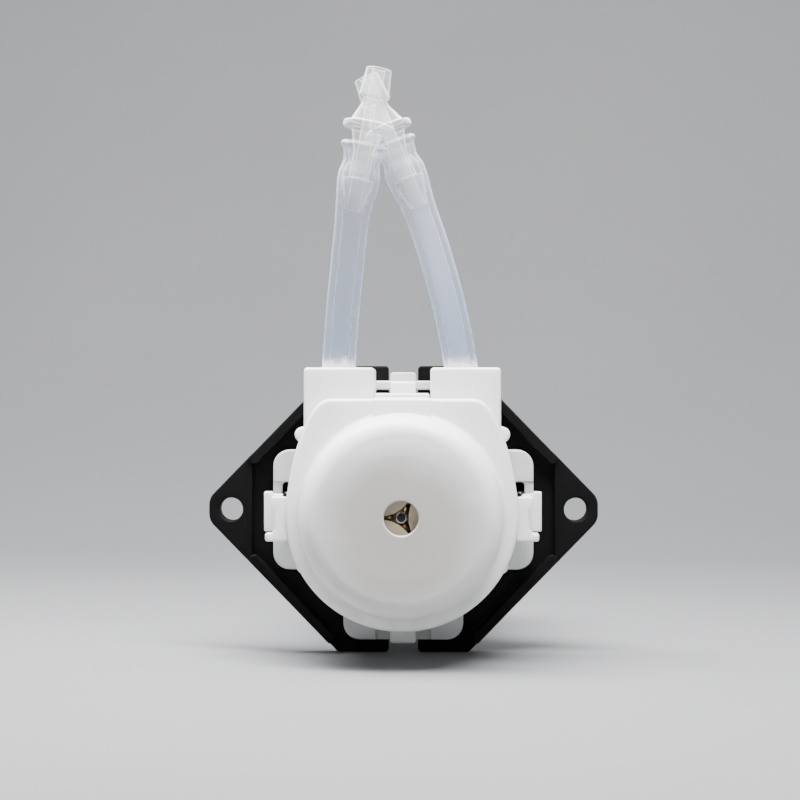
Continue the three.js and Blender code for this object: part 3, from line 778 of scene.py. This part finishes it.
def race_tube():
    """The squeezed tube round the race, opening out to the two free ends."""
    race = arc(0, 0, RACE_PATH_RADIUS, 180 - LEAVE_ANGLE, 360 + LEAVE_ANGLE, 60)
    points = [Vector(p) for p in LEFT_LEG[FIRST_FREE::-1]]
    points += [Vector((p.x, p.y, TUBE_PLANE)) for p in race]
    points += [Vector(p) for p in RIGHT_LEG[:FIRST_FREE + 1]]
    route = smooth_route(points, 0.7)
    open_at, shut_at = 7.5, 3.2
    sections = []
    for p in route:
        share = min(max((p.y - shut_at) / (open_at - shut_at), 0), 1)
        eased = share * share * (3 - 2 * share)
        sections.append(stadium(SQUEEZED_HALF + (TUBE_RADIUS - SQUEEZED_HALF) * eased))
    return swept("race_tube", route, sections)


finish_piece(race_tube(), "pump_tube", "silicone", "race_tube")


# ---- Flange and bracket ------------------------------------------------------------------------

SCREW_X = 8.5  # the two screws that hold the motor
SCREW_HOLE = 1.4
NOTCH_HALF = 2.15
NOTCH_DEPTH = 3.9
WING_STEP = 22.1
WING_FRONT = 3
FLOOR_FRONT = 1.7
TIP_HALF = 1.65
EDGE_HALF = 9.65
HOLE_X = 25.2
HOLE_RADIUS = 1.7


def wing_height(x):
    """Half of the flange's height at a distance from the shaft, along its slanted edges."""
    slope = (PLATE.top - TIP_HALF) / (PLATE.right - EDGE_HALF)
    return TIP_HALF + (PLATE.right - x) * slope


def flange():
    wide, high = PLATE.right, PLATE.top
    notch_floor = high - NOTCH_DEPTH
    half = [
        (wide, TIP_HALF, 2.4), (EDGE_HALF, high, 0.7), (NOTCH_HALF, high, 0.5),
        (NOTCH_HALF, notch_floor, 0.3),
    ]
    corners = half + [(-x, y, r) for x, y, r in half[::-1]]
    corners += [(-x, -y, r) for x, y, r in half] + [(x, -y, r) for x, y, r in half[::-1]]
    holes = [circle(side * HOLE_X, 0, HOLE_RADIUS) for side in SIDES]
    screws = [circle(side * SCREW_X, 0, SCREW_HOLE, 32) for side in SIDES]
    base = plate("flange", filleted(corners), 0, FLOOR_FRONT, [*holes, *screws, circle(0, 0, 5.3)])
    extras = []
    for side in SIDES:
        height = wing_height(WING_STEP)
        wing = filleted([
            (side * WING_STEP, -height, 0), (side * wide, -TIP_HALF, 2.4),
            (side * wide, TIP_HALF, 2.4), (side * WING_STEP, height, 0),
        ])
        hole = circle(side * HOLE_X, 0, HOLE_RADIUS)
        extras.append(plate("wing", wing, FLOOR_FRONT - 0.6, WING_FRONT, [hole]))
        for up in SIDES:
            extras.append(rim_strip(side, up))
    fuse(base, *extras)
    pockets = []
    for side in SIDES:
        outline = rectangle(side * 15, side * 18.7, -4.3, 4.3, 0.4)
        pockets.append(plate("pocket", outline, 0.5, FLOOR_FRONT + 1, soft=0.15))
        groove = rectangle(side * 19.1, side * 20.1, -22, 22)
        pockets.append(plate("groove", groove, -1, 0.3, soft=0.08))
    return carve(base, *pockets)


def rim_strip(side, up):
    """A raised strip along one slanted edge, with a round end on the wing."""
    edge, width = 0.06, 1.5
    start, end = (Vector((x, wing_height(x))) for x in (22.9, EDGE_HALF + 1.2))
    along = (end - start).normalized()
    inward = Vector((-along.y, along.x))
    if inward.x > 0:
        inward = -inward
    corners = ((start, edge, 0.74), (end, edge, 0.3), (end, width, 0.3), (start, width, 0.74))
    places = [(at + inward * offset, radius) for at, offset, radius in corners]
    outline = filleted([(side * p.x, up * p.y, radius) for p, radius in places])
    return plate("rim", outline, FLOOR_FRONT - 0.5, PLATE.front - 0.1, soft=0.22)


finish_piece(flange(), "mounting_plate", "black_plastic", "flange")


def bracket():
    reach, arm, round_, nook = BRACKET.right, 8.75, 2.4, 0.7
    top = 18.8
    right = [
        (arm, -reach, round_), (arm, -arm, nook), (reach, -arm, round_), (reach, arm, round_),
        (arm, arm, nook), (arm, top, round_),
    ]
    left = [(-x, y, r) for x, y, r in right[::-1]]
    slots = [rectangle(side * 15.1, side * 17.7, -4, 4, 0.55) for side in SIDES]
    window = rectangle(-4.05, 4.05, 12.4, 17.5, 0.35)
    screws = [circle(side * SCREW_X, 0, SCREW_HOLE, 32) for side in SIDES]
    outline = filleted(right + left)
    body = plate(
        "bracket", outline, BRACKET.front - 1.6, BRACKET.front,
        [*slots, window, *screws, circle(0, 0, 4.6)], soft=0.28, steps=4,
    )
    tab = rectangle(-1.9, 1.9, 17.9, BRACKET.top, 0.5)
    fuse(body, plate("tab", tab, BRACKET.back, BRACKET.front - 0.2, soft=0.2))
    cutters = []
    for side in SIDES:
        band = rectangle(side * 17.75, side * 20, -4.2, 4.2, 0)
        cutters.append(plate("band", band, BRACKET.front - 0.22, BRACKET.front + 1, soft=0.1))
    foot = rectangle(-4.05, 4.05, -20, -12.4, 0)
    cutters.append(plate("foot", foot, BRACKET.front - 0.6, BRACKET.front + 1, soft=0.12))
    cutters += [pillar("seat", 2.4, 2.6, 5, 40, (side * SCREW_X, 0), near=0.1) for side in SIDES]
    return carve(body, *cutters)


finish_piece(bracket(), "clip_bracket", "shaded_thin_white", "bracket")


# ---- Pump head ---------------------------------------------------------------------------------

SKIRT_END = 11.7  # degrees above the horizontal where the round skirt ends
BLOCK_INNER = 3.97
BLOCK_OUTER = 13.94
RACE_RADIUS = 12.9
DOME_RADIUS = 14.05
HUB_RADIUS = 2.35
SHOULDER = 17.5  # how far out the cover's flat shoulder lies


def head_outline(less):
    """The head's outline: a round skirt, sides that lean in, and rounded shoulders."""
    radius, top = COVER.right - less, 16.2 - less
    skirt = arc(0, 0, radius, 180 - SKIRT_END, 360 + SKIRT_END, 90)
    side = skirt[-1:]
    side += bend(side[-1], (15.45 - less, 7.2), (14.3 - less, 10.4))
    side += [Vector((13.4 - less, 12.6))]
    side += bend(side[-1], (12 - less, top), (9.8 - less, top), 14)
    other = [Vector((-p.x, p.y)) for p in side[:0:-1]]
    return skirt[:-1] + side + other


def head_housing():
    back, front, floor = HOUSING.back, HOUSING.front, HOUSING.back + 1.2
    body = plate("housing", head_outline(0.55), back, front, soft=0.35)
    extras = []
    for side in SIDES:
        block = rectangle(side * BLOCK_INNER, side * BLOCK_OUTER, 8, HOUSING.top, 0.55)
        extras.append(plate("block", block, back, front, soft=0.4, steps=4))
        for x, up in ((14.12, 11.1), (13.88, -7.5)):
            centre = (side * x, up)
            extras.append(pillar("post", 1.1, back, front - 0.1, 40, centre, 0.2, 0.35))
    extras.append(plate("boss", rectangle(-3.8, 3.8, 14, 16.95, 0.3), back, front - 0.05, soft=0.25))
    extras.append(plate("top_hook", rectangle(-1.8, 1.8, 15, 18.6, 0.35), back, 8, soft=0.3))
    extras.append(plate("low_hook", rectangle(-1.86, 1.86, -19.2, -14, 0.4), back, 6.4, soft=0.3))
    fuse(body, *extras)
    race = turned(
        "race",
        [(0, floor, 0), (RACE_RADIUS, floor, 0.4), (RACE_RADIUS, front - 0.4, 0.1),
         (RACE_RADIUS + 0.4, front, 0.1), (RACE_RADIUS + 0.4, front + 1, 0), (0, front + 1, 0)],
        120,
    )
    cutters = [race, pillar("hole", 2, back - 1, floor + 1, 40)]
    for side, leg in ((-1, LEFT_LEG), (1, RIGHT_LEG)):
        route = smooth_route([Vector(p) for p in leg[:6]], 1)
        top = HOUSING.top
        mouth = [TUBE_RADIUS + 0.1 + 0.35 * math.exp(-abs(p.y - top) * 2.2) for p in route]
        cutters.append(swept("channel", route, [round_section(r, 48) for r in mouth]))
        start = Vector((side * 11.64, 1.6, TUBE_PLANE))
        slot = [(-2.55, -3.4), (2.55, -3.4), (2.55, 3.4), (-2.55, 3.4)]
        cutters.append(swept("slot", [start, Vector(leg[1])], [slot, slot]))
    return carve(body, *cutters)


finish_piece(head_housing(), "head_housing", "white_plastic", "housing")


def head_cover():
    back, front = COVER.back, COVER.front
    skirt = plate("cover", head_outline(0), back, SHOULDER, soft=0.55, steps=5)
    dome = turned(
        "dome",
        [(0, back + 1, 0), (13, back + 1, 0), (13, SHOULDER - 0.5, 0),
         (DOME_RADIUS + 1.4, SHOULDER - 0.02, 0),
         (DOME_RADIUS + 0.1, SHOULDER, 0.8), (DOME_RADIUS - 0.1, front - 0.32, 3.3),
         (8.5, front - 0.06, 6), (0, front, 0)],
        160,
    )
    boss, ledge, plateau = (
        plate(name, rectangle(-half, half, low, high, corner), back + painted_foot_shade, SHOULDER + rise, soft=soft)
        for name, half, low, high, corner, painted_foot_shade, rise, soft in (
            ("boss", 3.8, 13, 16.95, 0.3, 0, -1.1, 0.3),
            ("ledge", 3.9, 13, 16.35, 0.2, 0.4, -0.35, 0.3),
            ("plateau", 4.05, 12, 16.1, 0.2, 1, 0.35, 0.2),
        )
    )
    fuse(skirt, dome, boss, ledge, plateau)
    cavity = pillar("cavity", 12.6, back - 1, 23.9, 120, far=1.4)
    hub = turned(
        "hub",
        [(0, 22, 0), (HUB_RADIUS, 22, 0), (HUB_RADIUS, front - 0.2, 0.1),
         (HUB_RADIUS + 0.22, front + 0.02, 0), (HUB_RADIUS + 0.22, 26, 0), (0, 26, 0)],
        72,
    )
    return carve(skirt, cavity, hub)


finish_piece(head_cover(), "head_cover", "cover_plastic", "cover")


def latch(side, node):
    """A springy side arm with a hook behind the bracket and a flange to press."""
    half, root = 2.85, 16.65
    inside = root - 0.7
    arm_corners = [
        (16.75, 0.85, 0.1), (18.3, 1.3, 0.15), (18.3, 1.65, 0.1), (17.5, 1.65, 0.1),
        (17.5, 8, 0.3), (18.2, 8.9, 0.5), (18.2, 14.4, 0.3), (18.3, 17.1, 0.45),
        (inside, 17.1, 0.1), (inside, 15, 0.1), (root, 14.8, 0.3), (16.85, 13.6, 0.3),
    ]
    web_corners = [(17, 6.9, 0.1), (19.2, 6.9, 0.1), (19.2, 8.9, 0.1), (17, 8.9, 0.1)]
    flange_corners = [(18.7, 6.9, 0.3), (19.9, 6.9, 0.3), (19.9, 8.9, 0.3), (18.7, 8.9, 0.3)]
    bar_corners = [(inside, 14.6, 0.2), (19.1, 14.6, 0.55), (19.1, 17.1, 0.55), (inside, 17.1, 0.2)]

    def slab(name, corners, low, high, soft):
        outline = filleted([(side * x, out, r) for x, out, r in corners])
        return plate(name, outline, low, high, soft=soft, place=sideways)

    arm = slab("arm", arm_corners, -half, half - 0.35, 0.14)
    web = slab("web", web_corners, -half, half - 0.35, 0.14)
    rest = slab("flange", flange_corners, -half, half, 0.2)
    fuse(arm, web, rest, slab("bar", bar_corners, -3.7, -2.55, 0.3))
    scoop = plate("scoop", rectangle(side * 17.62, side * 20, -2.5, 1.3, 0.7), 9.2, 18, soft=0.02)
    return finish_piece(carve(arm, scoop), node, "white_plastic")


latch(-1, "latch_left")
latch(1, "latch_right")


# ---- Rollers, carrier and shaft ----------------------------------------------------------------

def pin_centre(node):
    box = span(node)
    return (box.left + box.right) / 2, (box.bottom + box.top) / 2


def rollers():
    for i in (1, 2, 3):
        node, pin = f"roller_{i}", f"roller_pin_{i}"
        box, pin_box = span(node), span(pin)
        centre = pin_centre(pin)
        radius, lip, bore = 4.72, 4.83, 0.83
        body = turned(
            node,
            [(bore, box.back, 0.1), (radius, box.back, 0.3), (radius, box.front - 0.5, 0.1),
             (lip, box.front - 0.36, 0.08), (lip, box.front, 0.1), (2.1, box.front, 0.1),
             (2, box.front - 0.25, 0.1), (bore, box.front - 0.25, 0.1)],
            96, centre,
        )
        finish_piece(body, node, "roller_plastic")
        axle = pillar(pin, 0.75, pin_box.back, pin_box.front, 40, centre, 0.15, 0.2)
        finish_piece(axle, pin, "steel")


def carrier():
    box = span("roller_carrier")
    rim = circle(0, 0, box.right, 96)
    holes = [circle(*pin_centre(f"roller_pin_{i}"), 0.78, 32) for i in (1, 2, 3)]
    holes.append(circle(0, 0, 1.05, 40))
    for i in range(3):
        angle = math.radians(60 + 120 * i)
        holes.append(circle(6.4 * math.cos(angle), 6.4 * math.sin(angle), 1.9, 40))
    body = plate("carrier", rim, box.back, box.front, holes, soft=0.15)
    return finish_piece(body, "roller_carrier", "roller_plastic")


def shaft():
    body = turned(
        "shaft",
        [(0, SHAFT.back, 0), (0.75, SHAFT.back, 0.1), (1, SHAFT.back + 0.3, 0.1),
         (1, SHAFT.front - 0.4, 0.1), (0.66, SHAFT.front, 0.1), (0, SHAFT.front, 0)],
        64,
    )
    return finish_piece(body, "motor_shaft", "steel")


rollers()
carrier()
shaft()


# ---- Motor -------------------------------------------------------------------------------------

TERMINAL_UP = 8.5


def can():
    back, front, radius = CAN.back, -0.3, CAN.right
    body = turned(
        "can",
        [(radius - 1, back, 0.1), (radius, back, 0.2), (radius, front, 1.2), (8.4, front, 0.3),
         (8.1, front - 0.3, 0.2), (6, front - 0.3, 0.2), (5.7, front, 0.2), (5, front, 0.25),
         (5, CAN.front, 0.5), (3.4, CAN.front, 0.15), (3.4, front - 1, 0.1),
         (radius - 1, front - 1, 0.8)],
        144,
    )
    cutters = [pillar("hole", 1.3, -3, 1, 32, (side * SCREW_X, 0)) for side in SIDES]
    for angle in (90, 270):
        at = math.radians(angle)
        hole = circle(10.2 * math.cos(at), 10.2 * math.sin(at), 1.1, 32)
        cutters.append(plate("vent", hole, -3, 1, soft=0.05))
    carve(body, *cutters)
    return finish_piece(body, "motor_can", "zinc_steel")


def end_cap():
    back, front, radius = -37.9, CAN.back - 0.15, CAP.right
    body = turned(
        "cap",
        [(3.4, CAP.back, 0.1), (4.8, CAP.back, 0.3), (4.8, back, 0.3), (radius - 0.3, back, 0.8),
         (radius, front, 0.15), (radius - 1, front, 0.1), (radius - 1, CAP.front, 0.2),
         (radius - 2.3, CAP.front, 0.2), (radius - 2.3, front - 0.9, 0.3), (3.4, front - 0.9, 0.2)],
        144,
    )
    cutters = []
    for side in SIDES:
        up = side * TERMINAL_UP
        slit = rectangle(-1.8, 1.8, up - 0.6, up + 0.6, 0.15)
        cutters.append(plate("slit", slit, -40, -30, soft=0.05))
        sink = rectangle(side * 6.2, side * 11.4, -2.6, 2.6, 0.8)
        cutters.append(plate("sink", sink, back - 1, back + 0.6, soft=0.15))
    carve(body, *cutters)
    return finish_piece(body, "motor_end_cap", "cap_plastic")


def terminals():
    for i, side in enumerate(SIDES):
        node = f"terminal_{i + 1}"
        box = span(node)
        up = (box.bottom + box.top) / 2
        blade = filleted([
            (box.left, box.front, 0.1), (box.left, box.back, 0.7),
            (box.right, box.back, 0.7), (box.right, box.front, 0.1),
        ])
        eye = circle(0, box.back + 1.6, 0.6, 32)
        body = plate(node, blade, up - 0.25, up + 0.25, [eye], soft=0.08, place=sideways)
        finish_piece(body, node, "brass")


def bearings():
    for node in ("front_bearing", "rear_bearing"):
        box = span(node)
        body = sleeve(node, 1.05, 3.2, box.back, box.front, 64, 0.2, 0.3)
        finish_piece(body, node, "bronze")


def armature():
    box = span("armature_core")
    outer, shoe, arm, hub = 9.9, 1.6, 1.5, 3
    outline = []
    for i in range(3):
        middle = 120 * i
        half = math.degrees(0.85)
        inner = math.degrees(arm / (outer - shoe))
        root = math.degrees(arm / hub)
        outline += arc(0, 0, outer, middle - half, middle + half, 24)
        outline += arc(0, 0, outer - shoe, middle + half, middle + inner, 8)
        outline += arc(0, 0, hub, middle + root, middle + 120 - root, 6)
        outline += arc(0, 0, outer - shoe, middle + 120 - inner, middle + 120 - half, 8)
    sheets = 20
    thick = (box.front - box.back) / sheets
    bore = circle(0, 0, 1.05, 32)
    gap = 0.01
    stack = []
    for i in range(sheets):
        low = box.back + i * thick
        sheet = plate("sheet", outline, low + gap, low + thick - gap, [bore], soft=0.06, steps=1)
        stack.append(sheet)
    return finish_piece(gather("armature", stack), "armature_core", "steel")


def windings():
    core = span("armature_core")
    wire, rows, layers = 0.3, 5, 2
    for i in (1, 2, 3):
        turn = Matrix.Rotation(math.radians(120 * (i - 1)), 3, "Z")
        loops = []
        for row in range(rows):
            for layer in range(layers):
                gap = 0.45 + wire + layer * 1.9 * wire
                loop = rectangle(-1.5 - gap, 1.5 + gap, core.back - gap, core.front + gap, 0.9)
                radial = 4.05 + row * 2.15 * wire + (layer % 2) * wire
                route = [turn @ Vector((radial, p.x, p.y)) for p in loop]
                loops.append(ring_of_wire(route, wire))
        finish_piece(gather("coil", loops), f"winding_{i}", "copper")


def ring_of_wire(route, radius, count=10):
    section = round_section(radius, count)
    rings = []
    for i, here in enumerate(route):
        tangent = (route[(i + 1) % len(route)] - route[i - 1]).normalized()
        radial = Vector((here.x, here.y, 0)).normalized()
        across = (radial - tangent * radial.dot(tangent)).normalized()
        rings.append(placed(here, (across, tangent.cross(across)), section))
    return skin("loop", rings, closed=True)


def commutator():
    box = span("commutator")
    parts = []
    for i in range(3):
        start, end = 120 * i + 3, 120 * i + 117
        outline = arc(0, 0, 2.6, start, end, 24) + arc(0, 0, 1.7, end, start, 24)
        parts.append(plate("bar", outline, box.back, box.front, soft=0.08))
    parts.append(sleeve("sleeve", 1.05, 1.65, box.back + 0.1, box.front, 48, 0.05, 0.05))
    return finish_piece(gather("commutator_bars", parts), "commutator", "copper")


def magnets_and_brushes():
    for i, side in enumerate(SIDES):
        node = f"magnet_{i + 1}"
        box = span(node)
        middle = 0 if side > 0 else 180
        half = math.degrees(1.05)
        outline = arc(0, 0, 12.5, middle - half, middle + half, 48)
        outline += arc(0, 0, 10.4, middle + half, middle - half, 48)
        finish_piece(plate(node, outline, box.back, box.front, soft=0.35), node, "ferrite")
        node = f"brush_{i + 1}"
        box = span(node)
        outline = rectangle(box.left, box.right, box.bottom, box.top, 0.15)
        finish_piece(plate(node, outline, box.back, box.front, soft=0.12), node, "carbon")


def screws():
    for i, side in enumerate(SIDES):
        node = f"motor_screw_{i + 1}"
        box, x = span(node), side * SCREW_X
        body = turned(
            node,
            [(0, box.back, 0), (0.8, box.back, 0.1), (1.1, box.back + 0.5, 0.1), (1.1, 2.75, 0.1),
             (2.1, 2.75, 0.1), (2.1, box.front, 0.4), (0, box.front, 0)],
            48, (x, 0),
        )
        slots = [
            plate("slot", rectangle(x - wide, x + wide, -high, high, 0.05), 3, 5, soft=0.03)
            for wide, high in ((1.3, 0.22), (0.22, 1.3))
        ]
        finish_piece(carve(body, *slots), node, "zinc_steel")


can()
end_cap()
terminals()
bearings()
armature()
windings()
commutator()
magnets_and_brushes()
screws()


# ---- Floor and light ---------------------------------------------------------------------------

def floor():
    """A pale floor that sweeps up into a backdrop behind the pump."""
    low = cad_bounds[0][2] / MM - 0.05
    near, far, curve, rise = -1200, 420, 260, 1500
    profile = filleted([(near, low, 0), (far, low, curve), (far, low + rise, 0)], False, 32)
    points, faces = [], []
    for p in profile:
        points += [(-1600, p.y, -p.x), (1600, p.y, -p.x)]
    for i in range(len(profile) - 1):
        a = 2 * i
        faces.append((a, a + 1, a + 3, a + 2))
    sweep = make("floor", points, faces)
    to_metres(sweep)
    shader = Shader("floor", Roughness=0.75)
    stops = [(0.3, (0.2, 0.203, 0.209)), (0.7, (0.21, 0.213, 0.219))]
    shader.colour(shader.ramp(shader.noise(60), stops))
    sweep.data.materials.append(shader.material)


def soft_light(name, place, target, size, power, colour=(1, 1, 1)):
    data = bpy.data.lights.new(name, "AREA")
    data.shape = "RECTANGLE"
    data.size, data.size_y = (s * MM for s in size)
    data.energy = power
    data.color = colour
    light = bpy.data.objects.new(name, data)
    light.location = world(*place)
    aim = world(*target) - light.location
    light.rotation_euler = aim.to_track_quat("-Z", "Y").to_euler()
    bpy.context.scene.collection.objects.link(light)


def glow(place):
    """A tiny warm light between two rollers, for the light that shines through the head."""
    data = bpy.data.lights.new("glow", "POINT")
    data.energy = 8e-6
    data.color = (1, 0.6, 0.34)
    data.shadow_soft_size = 0.2 * MM
    light = bpy.data.objects.new("glow", data)
    light.location = place
    light.visible_camera = False
    bpy.context.scene.collection.objects.link(light)


def studio():
    soft_light("key", (-20, 178, 47), (0, 10, 12), (260, 66), 2.9)
    soft_light("front", (-260, 220, 420), (0, 10, 0), (300, 300), 0.4, (1, 0.985, 0.96))
    soft_light("side", (380, 160, 160), (0, 10, 0), (200, 380), 0.3, (0.97, 0.98, 1))
    soft_light("back", (0, 560, -120), (0, 150, -430), (700, 200), 6.5)
    for i in range(3):
        angle = math.radians(60 + 120 * i)
        glow(world(1.6 * math.cos(angle), 1.6 * math.sin(angle), 13))
    sky = bpy.data.worlds.new("studio")
    sky.use_nodes = True
    sky.node_tree.nodes["Background"].inputs["Color"].default_value = (0.92, 0.95, 1, 1)
    sky.node_tree.nodes["Background"].inputs["Strength"].default_value = 0.1
    bpy.context.scene.world = sky


floor()
studio()
